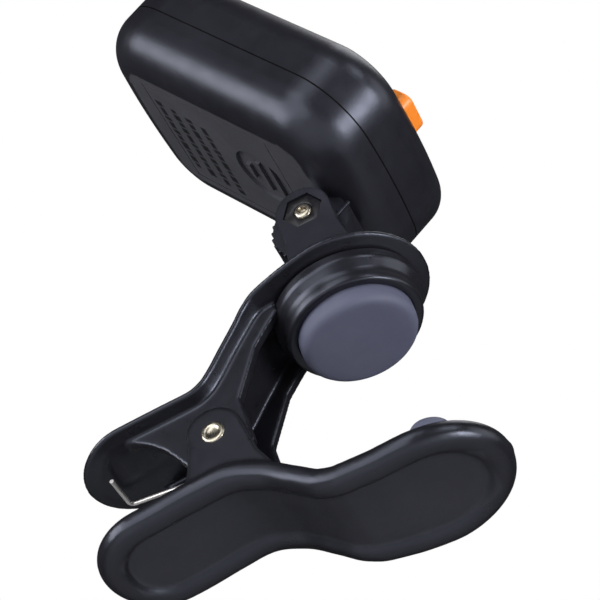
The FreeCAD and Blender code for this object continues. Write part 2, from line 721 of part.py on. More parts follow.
def front_shell():
    body = new_body("front_shell")
    casing_block(body, size.parting, size.front_face)
    round_edges(body, size.front_round, lambda e: flat_at(e, size.front_face))
    hollow(body, size.wall, lambda f: flat_at(f, size.parting))
    bosses = sketch_on(body, "XY_Plane", size.bay_back + size.board_thick)
    bores = sketch_on(body, "XY_Plane", size.bay_back + size.board_thick)
    for side in (-1, 1):
        draw_circle(bosses, -size.screw_x, size.screw_y * side, size.boss_radius)
        draw_circle(bores, -size.screw_x, size.screw_y * side, size.screw_radius)
    pad(body, bosses, size.front_face - size.wall / 2 - size.bay_back - size.board_thick)
    pocket(body, bores, size.screw_long - size.board_thick, away=True)
    recess = sketch_on(body, "XY_Plane", size.front_face)
    draw_box(recess, -size.window_top, -size.window_end, -size.window_half, size.window_half)
    pocket(body, recess, size.window_thick + size.window_sink)
    ledge = size.window_ledge
    light = sketch_on(body, "XY_Plane", size.front_face)
    draw_box(light, ledge - size.window_top, -ledge - size.window_end,
             ledge - size.window_half, size.window_half - ledge)
    pocket(body, light, size.wall + size.past)
    key = sketch_on(body, "XY_Plane", size.front_face)
    reach_x = size.button_wide / 2 + size.button_play
    reach_y = size.button_long / 2 + size.button_play
    y = -size.button_y
    draw_box(key, size.button_x - reach_x, size.button_x + reach_x, y - reach_y, y + reach_y)
    pocket(body, key, size.wall + size.past)
    return keep(body, "front_shell", head_frame)


def battery_door():
    """A flush door with two hooked tongues at the top and a ridged thumb grip at the bottom."""
    body = new_body("battery_door")
    play = size.door_play
    slab = sketch_on(body, "XY_Plane", size.back_face)
    draw_box(slab, play - size.bay_top, -play - size.bay_end, play - size.bay_half, size.bay_half - play)
    pad(body, slab, size.door_thick)
    grip = sketch_on(body, "XY_Plane", size.back_face)
    draw_circle(grip, -size.grip_centre, 0, size.grip_radius)
    pocket(body, grip, size.grip_deep, away=True)
    for n in range(3):
        ridge = sketch_on(body, "XY_Plane", size.back_face)
        x = size.ridge_step * n - size.ridge_first
        half = size.ridge_half + size.ridge_growth * n
        draw_box(ridge, x - size.ridge_wide / 2, x + size.ridge_wide / 2, -half, half)
        pad(body, ridge, size.grip_deep + size.bite)
    low = size.back_face + size.wall + size.tongue_gap
    for side in (-1, 1):
        tongue = sketch_on(body, "XY_Plane", size.back_face + size.door_thick - size.bite)
        middle = size.tongue_y * side
        y0, y1 = middle - size.tongue_wide / 2, middle + size.tongue_wide / 2
        draw_box(tongue, play - size.bay_top, play - size.bay_top + size.tongue_root, y0, y1)
        pad(body, tongue, low + size.tongue_thick - size.back_face - size.door_thick + size.bite)
        hook = sketch_on(body, "XY_Plane", low)
        hook_tip = play - size.bay_top - size.tongue_long
        draw_box(hook, hook_tip, play - size.bay_top + size.tongue_root, y0, y1)
        pad(body, hook, size.tongue_thick)
    return keep(body, "battery_door", head_frame)


# ---- inside the head ----

def coin_cell():
    body = new_body("coin_cell")
    low, high = size.cell_low, size.cell_low + size.cell_thick
    revolve(body, [
        (0, low),
        (size.cell_radius, low),
        (size.cell_radius, high - size.cell_step),
        (size.cell_cap_radius, high - size.cell_step),
        (size.cell_cap_radius, high),
        (0, high),
    ])
    middle_x = tilt_x - size.cell_x * cosine(head_frame.turn)
    middle_z = tilt_z + size.cell_x * sine(head_frame.turn)
    return keep(body, "coin_cell", Frame(middle_x, middle_z, head_frame.turn))


def battery_contact_negative():
    body = new_body("battery_contact_negative")
    leaf = sketch_on(body, "XZ_Plane")
    high, thick = size.bay_floor, size.contact_thick
    tail = -size.cell_x + size.contact_long / 2
    tip = -size.cell_x - size.contact_long / 2
    touch = size.cell_low + size.cell_thick
    fold = size.contact_fold
    draw_polygon(leaf, [(tail, high), (tip, high), (tip, high - thick), (tail - fold, high - thick),
                        (tip + thick, touch), (tip + fold, touch), (tail, high - thick * 2)])
    pad(body, leaf, size.contact_half * 2, midplane=True)
    return keep(body, "battery_contact_negative", head_frame)


def battery_contact_positive():
    """An angle of spring steel whose upright leaf bears on the cell's rim."""
    rim = size.cell_radius - size.cell_x
    leaf = solid_box(rim, rim + size.contact_thick, -size.contact_half, size.contact_half,
                     size.cell_low + size.contact_thick, size.bay_floor)
    base = solid_box(rim, rim + size.contact_half, -size.contact_half, size.contact_half,
                     size.bay_floor - size.contact_thick, size.bay_floor)
    return keep(joined(leaf, base), "battery_contact_positive", head_frame)


def circuit_board():
    body = new_body("circuit_board")
    rounded_slab(body, size.board_top, size.board_end, size.board_half, size.board_corner,
                 size.bay_back, size.bay_back + size.board_thick)
    holes = sketch_on(body, "XY_Plane", size.bay_back)
    for side in (-1, 1):
        draw_circle(holes, -size.screw_x, size.screw_y * side, size.screw_radius + size.screw_play)
    pocket(body, holes, size.board_thick, away=True)
    return keep(body, "circuit_board", head_frame)


def case_screws():
    screws = []
    low = size.bay_floor - size.screw_head_thick
    for side in (-1, 1):
        spot = {"x": -size.screw_x, "y": size.screw_y * side}
        head = solid_cylinder(size.screw_head, size.screw_head_thick, z=low, **spot)
        shank_long = size.bay_back - size.bay_floor + size.screw_long
        shank = solid_cylinder(size.screw_radius, shank_long, z=size.bay_floor, **spot)
        drive = solid_cylinder(size.drive_radius, size.drive_deep, z=low, **spot)
        screws.append(less(joined(head, shank), drive))
    return keep(grouped(*screws), "case_screws", head_frame)


def lcd_glass():
    return slab("lcd_glass", -size.glass_top, -size.glass_end, size.glass_half,
                size.glass_low, size.glass_low + size.glass_thick)


def backlight_guide():
    return slab("backlight_guide", -size.glass_top, -size.guide_end, size.glass_half,
                size.guide_low, size.guide_low + size.guide_thick)


def lcd_connector():
    """The rubber strip that joins the glass to the board."""
    return slab("lcd_connector", -size.strip_end - size.strip_wide, -size.strip_end,
                size.glass_half - size.strip_inset, size.bay_back + size.board_thick, size.glass_low)


def display_window():
    body = new_body("display_window")
    top = size.front_face - size.window_sink
    sketch = sketch_on(body, "XY_Plane", top - size.window_thick)
    gap = size.door_play / 2
    draw_box(sketch, gap - size.window_top, -gap - size.window_end,
             gap - size.window_half, size.window_half - gap)
    pad(body, sketch, size.window_thick)
    return keep(body, "display_window", head_frame)


def tuner_chip():
    half = size.chip_side / 2
    low = size.bay_back + size.board_thick
    return slab("tuner_chip", -size.chip_x - half, half - size.chip_x, half, low, low + size.chip_thick)


def board_components():
    """Two rows of chip resistors and capacitors beside the tuner chip."""
    low = size.bay_back + size.board_thick
    items = []
    for side in (-1, 1):
        for n in range(5):
            x = size.part_pitch * (n - 2) - size.chip_x
            y = size.part_row * side - size.part_wide / 2
            items.append(solid_box(x, x + size.part_long, y, y + size.part_wide,
                                   low, low + size.part_thick))
    return keep(grouped(*items), "board_components", head_frame)


def tact_switch():
    """The board switch under the button."""
    half = size.switch_side / 2
    low = size.bay_back + size.board_thick
    top = low + size.switch_body
    y = -size.button_y
    block = solid_box(size.button_x - half, size.button_x + half, y - half, y + half, low, top)
    plunger = solid_cylinder(size.switch_plunger, size.switch_top - top, x=size.button_x, y=y, z=top)
    return keep(joined(block, plunger), "tact_switch", head_frame)


def piezo_disc():
    """The contact pickup, bonded to the casing behind the hinge lug."""
    body = new_body("piezo_disc")
    disc = sketch_on(body, "XY_Plane", size.back_face + size.wall + size.piezo_seat)
    draw_circle(disc, -size.piezo_x, 0, size.piezo_radius)
    pad(body, disc, size.piezo_thick)
    return keep(body, "piezo_disc", head_frame)


def power_button():
    """A flanged key, on the near side of the head's middle."""
    body = new_body("power_button")
    half_x, half_y, extra = size.button_wide / 2, size.button_long / 2, size.flange_extra
    y = -size.button_y
    cap = sketch_on(body, "XY_Plane", size.flange_low)
    draw_box(cap, size.button_x - half_x, size.button_x + half_x, y - half_y, y + half_y)
    pad(body, cap, size.button_top - size.flange_low)
    round_edges(body, size.button_corner, upright)
    round_edges(body, size.button_edge, lambda e: flat_at(e, size.button_top))
    flange = sketch_on(body, "XY_Plane", size.flange_low)
    draw_box(flange, size.button_x - half_x - extra, size.button_x + half_x + extra,
             y - half_y - extra, y + half_y + extra)
    pad(body, flange, size.flange_high - size.flange_low)
    return keep(body, "power_button", head_frame)


for make in (lower_arm, lower_pad, pivot_rivet, torsion_spring, upper_arm, pad_cup, upper_pad,
             hinge_yoke, hinge_screw, hinge_nut, friction_washers, swivel_screw, swivel_washer,
             rear_shell, front_shell, battery_door, coin_cell, battery_contact_negative,
             battery_contact_positive, circuit_board, case_screws, lcd_glass, backlight_guide,
             lcd_connector, display_window, tuner_chip, board_components, tact_switch, piezo_disc,
             power_button):
    make()
doc.recompute()

for thing in doc.Objects:
    if "Invalid" in thing.State or "Error" in thing.State:
        raise ValueError(f"{thing.Label} failed: {thing.State}")
for thing in subparts:
    if thing.Shape.isNull() or not thing.Shape.isValid():
        raise ValueError(f"{thing.Label} has no valid shape")

os.makedirs("parts", exist_ok=True)
for thing in subparts:
    thing.Shape.exportStep(f"parts/{thing.Label}.step")
    box = thing.Shape.BoundBox
    print(f"{thing.Label:26s} solids {len(thing.Shape.Solids)}  volume {thing.Shape.Volume:9.1f}  "
          f"x {box.XMin:7.2f} {box.XMax:7.2f}  y {box.YMin:7.2f} {box.YMax:7.2f}  "
          f"z {box.ZMin:7.2f} {box.ZMax:7.2f}")
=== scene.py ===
import json
import math

import bmesh
import bpy
from mathutils import Matrix, Vector
from mathutils.geometry import convex_hull_2d


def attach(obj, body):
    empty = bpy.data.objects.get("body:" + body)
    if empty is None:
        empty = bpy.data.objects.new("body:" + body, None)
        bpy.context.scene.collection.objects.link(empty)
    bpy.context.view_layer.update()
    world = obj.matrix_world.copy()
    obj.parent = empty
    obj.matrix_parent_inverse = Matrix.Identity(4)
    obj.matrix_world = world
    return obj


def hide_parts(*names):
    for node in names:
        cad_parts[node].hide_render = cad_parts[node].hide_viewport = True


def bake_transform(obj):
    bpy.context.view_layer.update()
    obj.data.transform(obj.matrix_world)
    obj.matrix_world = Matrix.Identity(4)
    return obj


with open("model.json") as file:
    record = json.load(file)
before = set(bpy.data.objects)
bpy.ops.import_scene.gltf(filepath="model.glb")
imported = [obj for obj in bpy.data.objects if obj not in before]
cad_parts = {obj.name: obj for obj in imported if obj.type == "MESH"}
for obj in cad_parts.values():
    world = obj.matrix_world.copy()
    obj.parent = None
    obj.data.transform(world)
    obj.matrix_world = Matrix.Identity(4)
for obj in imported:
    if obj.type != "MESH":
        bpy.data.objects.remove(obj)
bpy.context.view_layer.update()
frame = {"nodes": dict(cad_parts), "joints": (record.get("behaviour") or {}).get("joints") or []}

# A clip-on tuner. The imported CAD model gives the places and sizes; this script covers its outer pieces with
# detailed meshes, gives every piece a procedural material, and sets up the camera, the lights and the floor.

MM = 0.001
JOINTS = {joint["name"]: joint for joint in frame["joints"]}


# ---- the four local frames, each in millimetres ----

def local_frame(origin, x_axis, z_axis):
    """A matrix from a local frame in millimetres to the row frame in metres."""
    x_axis, z_axis = Vector(x_axis).normalized(), Vector(z_axis).normalized()
    y_axis = z_axis.cross(x_axis)
    turn = Matrix((x_axis, y_axis, z_axis)).transposed().to_4x4()
    return Matrix.Translation(Vector(origin)) @ turn @ Matrix.Scale(MM, 4)


def across(z_axis):
    """The axis at right angles to z_axis in the XZ plane, towards the jaw tips."""
    return Vector((z_axis[2], 0, -z_axis[0]))


PIVOT = Vector(JOINTS["jaw_pivot"]["pos_m"])
DISC_UP = Vector(JOINTS["base_swivel"]["axis"])
HEAD_UP = -Vector(JOINTS["power_press"]["axis"])
DISC_X = 21.1
LOWER = local_frame(PIVOT, (1, 0, 0), (0, 0, 1))
UPPER = local_frame(PIVOT, across(DISC_UP), DISC_UP)
DISC = local_frame(PIVOT + across(DISC_UP) * DISC_X * MM, across(DISC_UP), DISC_UP)
HEAD = local_frame(JOINTS["head_tilt"]["pos_m"], across(HEAD_UP), HEAD_UP)


# ---- materials ----

def new_material(name, color, roughness, metallic):
    """A Principled material; returns (material, nodes, links, shader)."""
    material = bpy.data.materials.new(name)
    material.use_nodes = True
    nodes, links = material.node_tree.nodes, material.node_tree.links
    shader = nodes["Principled BSDF"]
    shader.inputs["Base Color"].default_value = (*color, 1)
    shader.inputs["Roughness"].default_value = roughness
    shader.inputs["Metallic"].default_value = metallic
    return material, nodes, links, shader


def noise(nodes, links, scale, stretch=(1, 1, 1)):
    """A noise texture in the object's own space; scale is per metre."""
    coordinates = nodes.new("ShaderNodeTexCoord")
    mapping = nodes.new("ShaderNodeMapping")
    mapping.inputs["Scale"].default_value = stretch
    texture = nodes.new("ShaderNodeTexNoise")
    texture.inputs["Scale"].default_value = scale
    texture.inputs["Detail"].default_value = 3.0
    links.new(coordinates.outputs["Object"], mapping.inputs["Vector"])
    links.new(mapping.outputs["Vector"], texture.inputs["Vector"])
    return texture.outputs["Fac"]


def spread(nodes, links, source, low, high):
    """Map a noise value to a range of numbers."""
    limits = nodes.new("ShaderNodeMapRange")
    limits.inputs["From Min"].default_value = 0.3
    limits.inputs["From Max"].default_value = 0.7
    limits.inputs["To Min"].default_value = low
    limits.inputs["To Max"].default_value = high
    links.new(source, limits.inputs["Value"])
    return limits.outputs["Result"]


def tint(nodes, links, source, first, second):
    """Map a noise value to a range of colours."""
    ramp = nodes.new("ShaderNodeValToRGB")
    ramp.color_ramp.elements[0].position = 0.35
    ramp.color_ramp.elements[0].color = (*first, 1)
    ramp.color_ramp.elements[1].position = 0.65
    ramp.color_ramp.elements[1].color = (*second, 1)
    links.new(source, ramp.inputs["Fac"])
    return ramp.outputs["Color"]


PLAIN = (1.0, 1.0, 1.0)
# BLUISH tints the highlights of the dark plastics: painted colour of the cool light, since the lamps are
# white
BLUISH = (0.74, 0.79, 1.0)


def surface(name, dark, light, roughness, grain=2600, depth=0.01, metallic=0.0, patch=90, stretch=(1, 1, 1),
            sheen=PLAIN, shine=0.5):
    """A moulded, rubber or metal surface: two close tones in patches, uneven gloss and a fine grain.
    roughness is (low, high); grain and patch are noise scales per metre; depth is in millimetres; sheen is
    the colour of its highlights and shine their strength."""
    material, nodes, links, shader = new_material(name, dark, roughness[0], metallic)
    shader.inputs["Specular IOR Level"].default_value = shine
    shader.inputs["Specular Tint"].default_value = (*sheen, 1)
    patches = noise(nodes, links, patch)
    links.new(tint(nodes, links, patches, dark, light), shader.inputs["Base Color"])
    wear = noise(nodes, links, patch * 5, stretch=stretch)
    links.new(spread(nodes, links, wear, *roughness), shader.inputs["Roughness"])
    bump = nodes.new("ShaderNodeBump")
    bump.inputs["Strength"].default_value = 0.6
    bump.inputs["Distance"].default_value = depth * MM
    links.new(noise(nodes, links, grain, stretch=stretch), bump.inputs["Height"])
    links.new(bump.outputs["Normal"], shader.inputs["Normal"])
    return material


CASING = surface("casing", (0.009, 0.009, 0.012), (0.013, 0.013, 0.017), (0.31, 0.38), grain=2400,
                 depth=0.016, sheen=BLUISH)
LEVER = surface("lever", (0.007, 0.007, 0.009), (0.010, 0.010, 0.013), (0.27, 0.35), grain=1800,
                depth=0.010, sheen=BLUISH)
FLOOR_GRAIN = surface("lever_floor", (0.013, 0.013, 0.016), (0.017, 0.017, 0.021), (0.48, 0.58), grain=3600,
                      depth=0.02, sheen=BLUISH)
# painted light: the flat back and the battery door get a lighter base than the casing for the light they
# catch; their matte grain is the moulding's own
PANEL_PAINTED_LIGHT = surface("back_panel_painted_light", (0.042, 0.042, 0.048), (0.050, 0.050, 0.057), (0.50, 0.60), grain=3600,
                depth=0.02, sheen=BLUISH)
MARKS = surface("moulded_marks", (0.008, 0.008, 0.009), (0.011, 0.011, 0.013), (0.45, 0.55), grain=3600,
                shine=0.25)
# painted shade: near black and dull, for the shadow in the joint between the two shells
GROOVE_PAINTED_SHADE = surface("parting_groove_painted_shade", (0.002, 0.002, 0.002), (0.003, 0.003, 0.003), (0.7, 0.8), shine=0.05)
RUBBER = surface("grey_rubber", (0.070, 0.075, 0.122), (0.082, 0.087, 0.136), (0.62, 0.74), grain=2200,
                 depth=0.02)
ORANGE = surface("orange_key", (0.85, 0.23, 0.02), (0.92, 0.27, 0.03), (0.35, 0.45), grain=2200)
DARK_STEEL = surface("dark_steel", (0.035, 0.035, 0.04), (0.06, 0.06, 0.065), (0.34, 0.46), metallic=1.0,
                     patch=300)
NICKEL = surface("nickel", (0.36, 0.33, 0.27), (0.47, 0.43, 0.36), (0.24, 0.36), grain=3000, depth=0.01,
                 metallic=1.0, patch=300)
WIRE = surface("spring_wire", (0.80, 0.77, 0.76), (0.88, 0.86, 0.85), (0.26, 0.38), grain=900, depth=0.006,
               metallic=0.75, patch=200, stretch=(0.1, 1, 1))
NYLON = surface("nylon", (0.72, 0.71, 0.66), (0.78, 0.77, 0.72), (0.45, 0.55))
BOARD = surface("board", (0.010, 0.085, 0.030), (0.014, 0.110, 0.040), (0.30, 0.42), grain=5000, patch=600)
CHIP = surface("chip", (0.015, 0.015, 0.016), (0.022, 0.022, 0.023), (0.50, 0.62), grain=6000)
CERAMIC = surface("ceramic", (0.36, 0.24, 0.13), (0.46, 0.32, 0.19), (0.35, 0.5), patch=900)
BRASS = surface("brass", (0.70, 0.50, 0.20), (0.78, 0.58, 0.27), (0.22, 0.34), metallic=1.0)
GUIDE = surface("light_guide", (0.74, 0.77, 0.78), (0.82, 0.84, 0.85), (0.30, 0.42))
LCD = surface("lcd", (0.17, 0.22, 0.19), (0.19, 0.245, 0.21), (0.06, 0.10), grain=800, depth=0.001)
ZEBRA = surface("zebra", (0.05, 0.05, 0.05), (0.16, 0.16, 0.16), (0.55, 0.65), patch=1500,
                stretch=(1, 6, 1))
WINDOW = surface("dark_window", (0.006, 0.007, 0.009), (0.008, 0.009, 0.012), (0.04, 0.09), grain=500,
                 depth=0.001)


# ---- mesh helpers: every shape is given in millimetres in one of the local frames ----

def linked(name, mesh):
    """A new object in the scene."""
    piece = bpy.data.objects.new(name, mesh)
    bpy.context.scene.collection.objects.link(piece)
    return piece


def new_object(name, points, faces, matrix):
    """A clean mesh object from points in a local frame, with its faces turned outwards."""
    mesh = bpy.data.meshes.new(name)
    mesh.from_pydata([matrix @ Vector(point) for point in points], [], faces)
    mesh.validate()
    edit = bmesh.new()
    edit.from_mesh(mesh)
    bmesh.ops.remove_doubles(edit, verts=edit.verts, dist=1e-7)
    bmesh.ops.recalc_face_normals(edit, faces=edit.faces)
    edit.to_mesh(mesh)
    edit.free()
    return linked(name, mesh)


def settle(piece):
    """Apply the piece's modifiers."""
    graph = bpy.context.evaluated_depsgraph_get()
    mesh = bpy.data.meshes.new_from_object(piece.evaluated_get(graph))
    piece.modifiers.clear()
    piece.data = mesh
    return piece


def rounded(piece, radius, segments=3):
    """Bevel the sharp edges by a radius in millimetres."""
    bevel = piece.modifiers.new("bevel", "BEVEL")
    bevel.width = radius * MM
    bevel.segments = segments
    bevel.limit_method = "ANGLE"
    bevel.angle_limit = math.radians(35)
    bevel.harden_normals = False
    return settle(piece)


def joined(name, pieces):
    """One object with the meshes of all the pieces."""
    edit = bmesh.new()
    for piece in pieces:
        edit.from_mesh(piece.data)
        bpy.data.objects.remove(piece)
    mesh = bpy.data.meshes.new(name)
    edit.to_mesh(mesh)
    edit.free()
    return linked(name, mesh)


def fused(name, pieces, voxel, passes):
    """One smooth moulding from several overlapping closed pieces; voxel is in millimetres."""
    whole = joined(name, pieces)
    remesh = whole.modifiers.new("remesh", "REMESH")
    remesh.mode = "VOXEL"
    remesh.voxel_size = voxel * MM
    smooth = whole.modifiers.new("smooth", "SMOOTH")
    smooth.factor = 0.5
    smooth.iterations = passes
    return settle(whole)


def cut(piece, tool):
    """Take the closed tool away from the piece."""
    boolean = piece.modifiers.new("cut", "BOOLEAN")
    boolean.operation = "DIFFERENCE"
    boolean.solver = "EXACT"
    boolean.object = tool
    settle(piece)
    bpy.data.objects.remove(tool)
    return piece


def prism(name, outline, low, high, matrix, along="z"):
    """A closed prism from an outline: in X and Y lifted along Z, or in X and Z lifted along Y."""
    def spot(u, v, lift):
        return (u, v, lift) if along == "z" else (u, lift, v)
    count = len(outline)
    points = [spot(u, v, lift) for lift in (low, high) for u, v in outline]
    faces = [[n, (n + 1) % count, count + (n + 1) % count, count + n] for n in range(count)]
    faces.append(list(range(count))[::-1])
    faces.append(list(range(count, count * 2)))
    return new_object(name, points, faces, matrix)


def turned(name, profile, matrix, centre=(0, 0, 0), along="z", steps=72):
    """A turned piece: profile is a list of (radius, height) that starts and ends on the axis, or that closes
    on itself to leave a bore."""
    points = []
    for step in range(steps):
        angle = math.tau * step / steps
        for radius, height in profile:
            u, v = radius * math.cos(angle), radius * math.sin(angle)
            spot = (u, v, height) if along == "z" else (u, height, v)
            points.append([c + s for c, s in zip(centre, spot)])
    count = len(profile)
    closed = profile[0][0] > 0 and profile[-1][0] > 0
    faces = []
    for step in range(steps):
        for n in range(count if closed else count - 1):
            here, there = step * count, (step + 1) % steps * count
            following = (n + 1) % count
            faces.append([here + n, here + following, there + following, there + n])
    return new_object(name, points, faces, matrix)


def spaced(first, last, count):
    """Evenly spaced values from first to last, both included."""
    return [first + (last - first) * n / (count - 1) for n in range(count)]


def circle(x, y, radius, count, start=0.0, end=math.tau):
    """Points round a circle, or along an arc of it."""
    whole = abs(end - start) >= math.tau - 1e-6
    last = count if whole else count - 1
    return [(x + radius * math.cos(start + (end - start) * n / last),
             y + radius * math.sin(start + (end - start) * n / last)) for n in range(count)]


def rectangle(left, bottom, right, top):
    return [(left, bottom), (right, bottom), (right, top), (left, top)]


def smooth_curve(table):
    """A function through the (x, value) pairs with no corners (a monotone cubic)."""
    xs, ys = [row[0] for row in table], [row[1] for row in table]
    steps = [(ys[n + 1] - ys[n]) / (xs[n + 1] - xs[n]) for n in range(len(xs) - 1)]
    slopes = [steps[0]]
    for before, after in zip(steps, steps[1:]):
        slopes.append(0.0 if before * after <= 0 else 2 * before * after / (before + after))
    slopes.append(steps[-1])

    def value(x):
        x = min(max(x, xs[0]), xs[-1])
        n = max(k for k in range(len(xs) - 1) if xs[k] <= x)
        width = xs[n + 1] - xs[n]
        t = (x - xs[n]) / width
        return ((1 + 2 * t) * (1 - t) ** 2 * ys[n] + t * (1 - t) ** 2 * width * slopes[n]
                + t * t * (3 - 2 * t) * ys[n + 1] + t * t * (t - 1) * width * slopes[n + 1])
    return value


def finished(piece, body, material, replaces=(), angle=40):
    """Shade the piece smoothly, give it its material and set it on its body."""
    if not piece.data.materials:
        piece.data.materials.append(material)
    piece.data.shade_smooth()
    piece.data.set_sharp_from_angle(angle=math.radians(angle))
    if body:
        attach(piece, body)
    if replaces:
        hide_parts(*replaces)
    return piece


# ---- levers: a plate with rounded ends along a curved line, with a rolled rim all round ----

class Plate:
    """height and half_width are tables along X; tail and tip are the ends; tail_run and tip_run are how far
    in from them the rounding begins."""

    NEARBY = 0.05

    def __init__(self, height, half_width, tail, tip, tail_run, tip_run):
        self.height, self.wide = smooth_curve(height), smooth_curve(half_width)
        self.tail, self.tip, self.tail_run, self.tip_run = tail, tip, tail_run, tip_run

    def half_width(self, x):
        """Half the width at x, with the rounded ends."""
        tail = min(1, max(0, 1 - (x - self.tail) / self.tail_run))
        tip = min(1, max(0, 1 - (self.tip - x) / self.tip_run))
        return self.wide(x) * math.sqrt(max(0, 1 - tail * tail)) * math.sqrt(max(0, 1 - tip * tip))

    def spot(self, x, y, lift):
        """A point of the plate's outer surface at x, raised at right angles to the curved line."""
        slope = (self.height(x + self.NEARBY) - self.height(x - self.NEARBY)) / (2 * self.NEARBY)
        size = math.hypot(1, slope)
        return x - lift * slope / size, y, self.height(x) + lift / size

    def outline(self, count):
        """Half the outline, from the tail to the tip, closely spaced at both ends."""
        middle, reach = (self.tail + self.tip) / 2, (self.tip - self.tail) / 2
        xs = [middle - reach * math.cos(math.pi * n / count) for n in range(count + 1)]
        return [(x, self.half_width(x)) for x in xs]

    def inset(self, outline, depth):
        """The half outline moved inwards by depth; it stays on its own side of the middle."""
        moved = []
        for n, (x, y) in enumerate(outline):
            before, after = outline[max(n - 1, 0)], outline[min(n + 1, len(outline) - 1)]
            along = Vector((after[0] - before[0], after[1] - before[1]))
            if n == 0:
                along = Vector((0, 1))
            if n == len(outline) - 1:
                along = Vector((0, -1))
            along.normalize()
            moved.append((x + along.y * depth, max(y - along.x * depth, 0)))
        low, high = self.tail + depth, self.tip - depth
        return [(min(max(x, low), high), y) for x, y in moved]

    def mesh(self, name, section, matrix):
        """section is a list of (depth from the edge, lift), from one face's floor over the rim to the other
        face's floor."""
        outline = self.outline(count=150)
        half = len(outline)
        rings = []
        for depth, lift in section:
            ring = self.inset(outline, depth)
            loop = [(x, y, lift) for x, y in ring] + [(x, -y, lift) for x, y in ring[::-1]]
            rings.append([self.spot(*point) for point in loop])
        count = half * 2
        points = [point for ring in rings for point in ring]
        faces = []
        for k in range(len(rings) - 1):
            for n in range(count):
                m = (n + 1) % count
                faces.append([k * count + n, k * count + m, (k + 1) * count + m, (k + 1) * count + n])
        for k in (0, len(rings) - 1):
            for n in range(half - 1):
                faces.append([k * count + n, k * count + n + 1, k * count + count - 2 - n,
                              k * count + count - 1 - n])
        return new_object(name, points, faces, matrix)


def paint_underside(piece, plate, matrix, material, margin, low, high):
    """Give the faces inside the rim on the underside, from low to high along X, a material of their own."""
    flat, close = 0.75, 1.6
    piece.data.materials.append(material)
    back = matrix.inverted()
    turn = back.to_3x3().normalized()
    for face in piece.data.polygons:
        centre = back @ face.center
        normal = turn @ face.normal
        faces_down = low < centre.x < high and -normal.z >= flat
        inside_rim = abs(centre.y) < plate.half_width(centre.x) - margin
        if faces_down and inside_rim and abs(centre.z - plate.height(centre.x)) < close:
            face.material_index = len(piece.data.materials) - 1


lower_plate = Plate(
    height=[(-19.4, -12.8), (-15, -12.3), (-9.7, -11.3), (-3.2, -9.65), (0.9, -8.85), (5.0, -9.9),
            (9.0, -12.2), (12.6, -14.3), (15.6, -14.95), (19.1, -14.9), (24, -14.4), (30, -13.3),
            (35.8, -12.2)],
    half_width=[(-19.4, 9.5), (-8, 9.6), (0, 9.4), (6, 9.4), (11, 9.7), (15, 10.2), (20, 10.8), (25, 11.2),
                (35.8, 11.2)],
    tail=-19.4, tip=35.8, tail_run=8.5, tip_run=11.0)
upper_plate = Plate(
    height=[(-20, 7.4), (-14, 7.8), (-6, 7.9), (-1.6, 8.0), (0.2, 8.6), (1.8, 9.9), (4.0, 12.2),
            (7.0, 15.2), (9.2, 17.3), (10.8, 18.15), (12.8, 18.4), (33.1, 18.4)],
    half_width=[(-20, 8.2), (-12, 8.7), (-6, 8.8), (0, 8.7), (5, 8.7), (9, 9.0), (12, 9.7), (15, 10.7),
                (18, 11.5), (21.1, 12.0), (33.1, 12.0)],
    tail=-20, tip=33.1, tail_run=8.0, tip_run=12.0)

# (depth from the edge, lift): the dished underside, the rolled rim, and the inner face
LOWER_SECTION = [(5.4, 0.95), (4.3, 0.95), (3.85, 0.85), (3.5, 0.45), (3.1, 0.14), (2.5, 0.0), (1.6, 0.06),
                 (0.9, 0.3), (0.35, 0.8), (0.08, 1.4), (0.0, 2.0), (0.08, 2.5), (0.4, 2.9), (0.9, 3.02),
                 (1.8, 2.95), (3.0, 2.6), (5.4, 2.5)]
# the flat outer face, the edge, and the inner face inside its low rim
UPPER_SECTION = [(4.0, 0.0), (2.2, 0.0), (1.0, -0.04), (0.35, -0.12), (0.06, -0.32), (0.0, -0.5),
                 (0.06, -0.72), (0.3, -0.92), (0.8, -1.0), (1.4, -1.15), (2.2, -1.4), (4.0, -1.5)]

LEVER_VOXEL = 0.22
LOWER_ROOT = 1.7        # the lower ears and the boss start this far inside the plate's outer surface
UPPER_ROOT = 0.8        # and the upper ears this far
BOSS_X, BOSS_FOOT = 25.8, -12.8
UPPER_EAR_REACH = 13.0


def ear_pair(name, outline, low, high, matrix):
    """Two matching ears: one outline in X and Z, solid from low to high on both sides of the middle."""
    return [prism(f"{name}_{sign}", outline, *sorted((low * sign, high * sign)), matrix, along="y")
            for sign in (-1, 1)]


def lower_ear():
    """The outline of the lower lever's ear: round the rivet, down to the plate, and up its back edge."""
    back = smooth_curve([(-8.5, -7.6), (-6.4, -4.7), (-4.6, -4.1), (-1.0, -3.72)])
    outline = circle(0, 0, 3.9, 24, math.radians(165), math.radians(20)) + [(5.4, -4.2), (8.4, -9.0)]
    outline += [(x, lower_plate.height(x) + LOWER_ROOT) for x in (8.4, 6.0, 3.0, 0.0, -3.0, -6.0, -7.6)]
    return outline + [(back(z), z) for z in spaced(-8.5, -1.0, 31)]


def lower_boss():
    """The round boss that holds the lower pad; its foot follows the curved plate."""
    boss = turned("lower_boss", [(0, BOSS_FOOT), (4.6, BOSS_FOOT), (4.4, -11.0), (4.3, -8.5), (4.1, -8.3),
                                 (0, -8.3)], LOWER, centre=(BOSS_X, 0, 0))
    for vertex in boss.data.vertices:
        place = LOWER.inverted() @ vertex.co
        if place.z < BOSS_FOOT + 0.1:
            place.z = lower_plate.height(place.x) + LOWER_ROOT
            vertex.co = LOWER @ place
    return boss


def lower_arm():
    pieces = [lower_plate.mesh("lower_plate", LOWER_SECTION, LOWER), lower_boss()]
    pieces += ear_pair("lower_ear", lower_ear(), 6.7, 8.3, LOWER)
    arm = fused("lower_arm_skin", pieces, LEVER_VOXEL, passes=7)
    arm.data.materials.append(LEVER)
    paint_underside(arm, lower_plate, LOWER, FLOOR_GRAIN, margin=3.9, low=-16, high=32.6)
    finished(arm, "lower_lever", LEVER, ["lower_arm"])


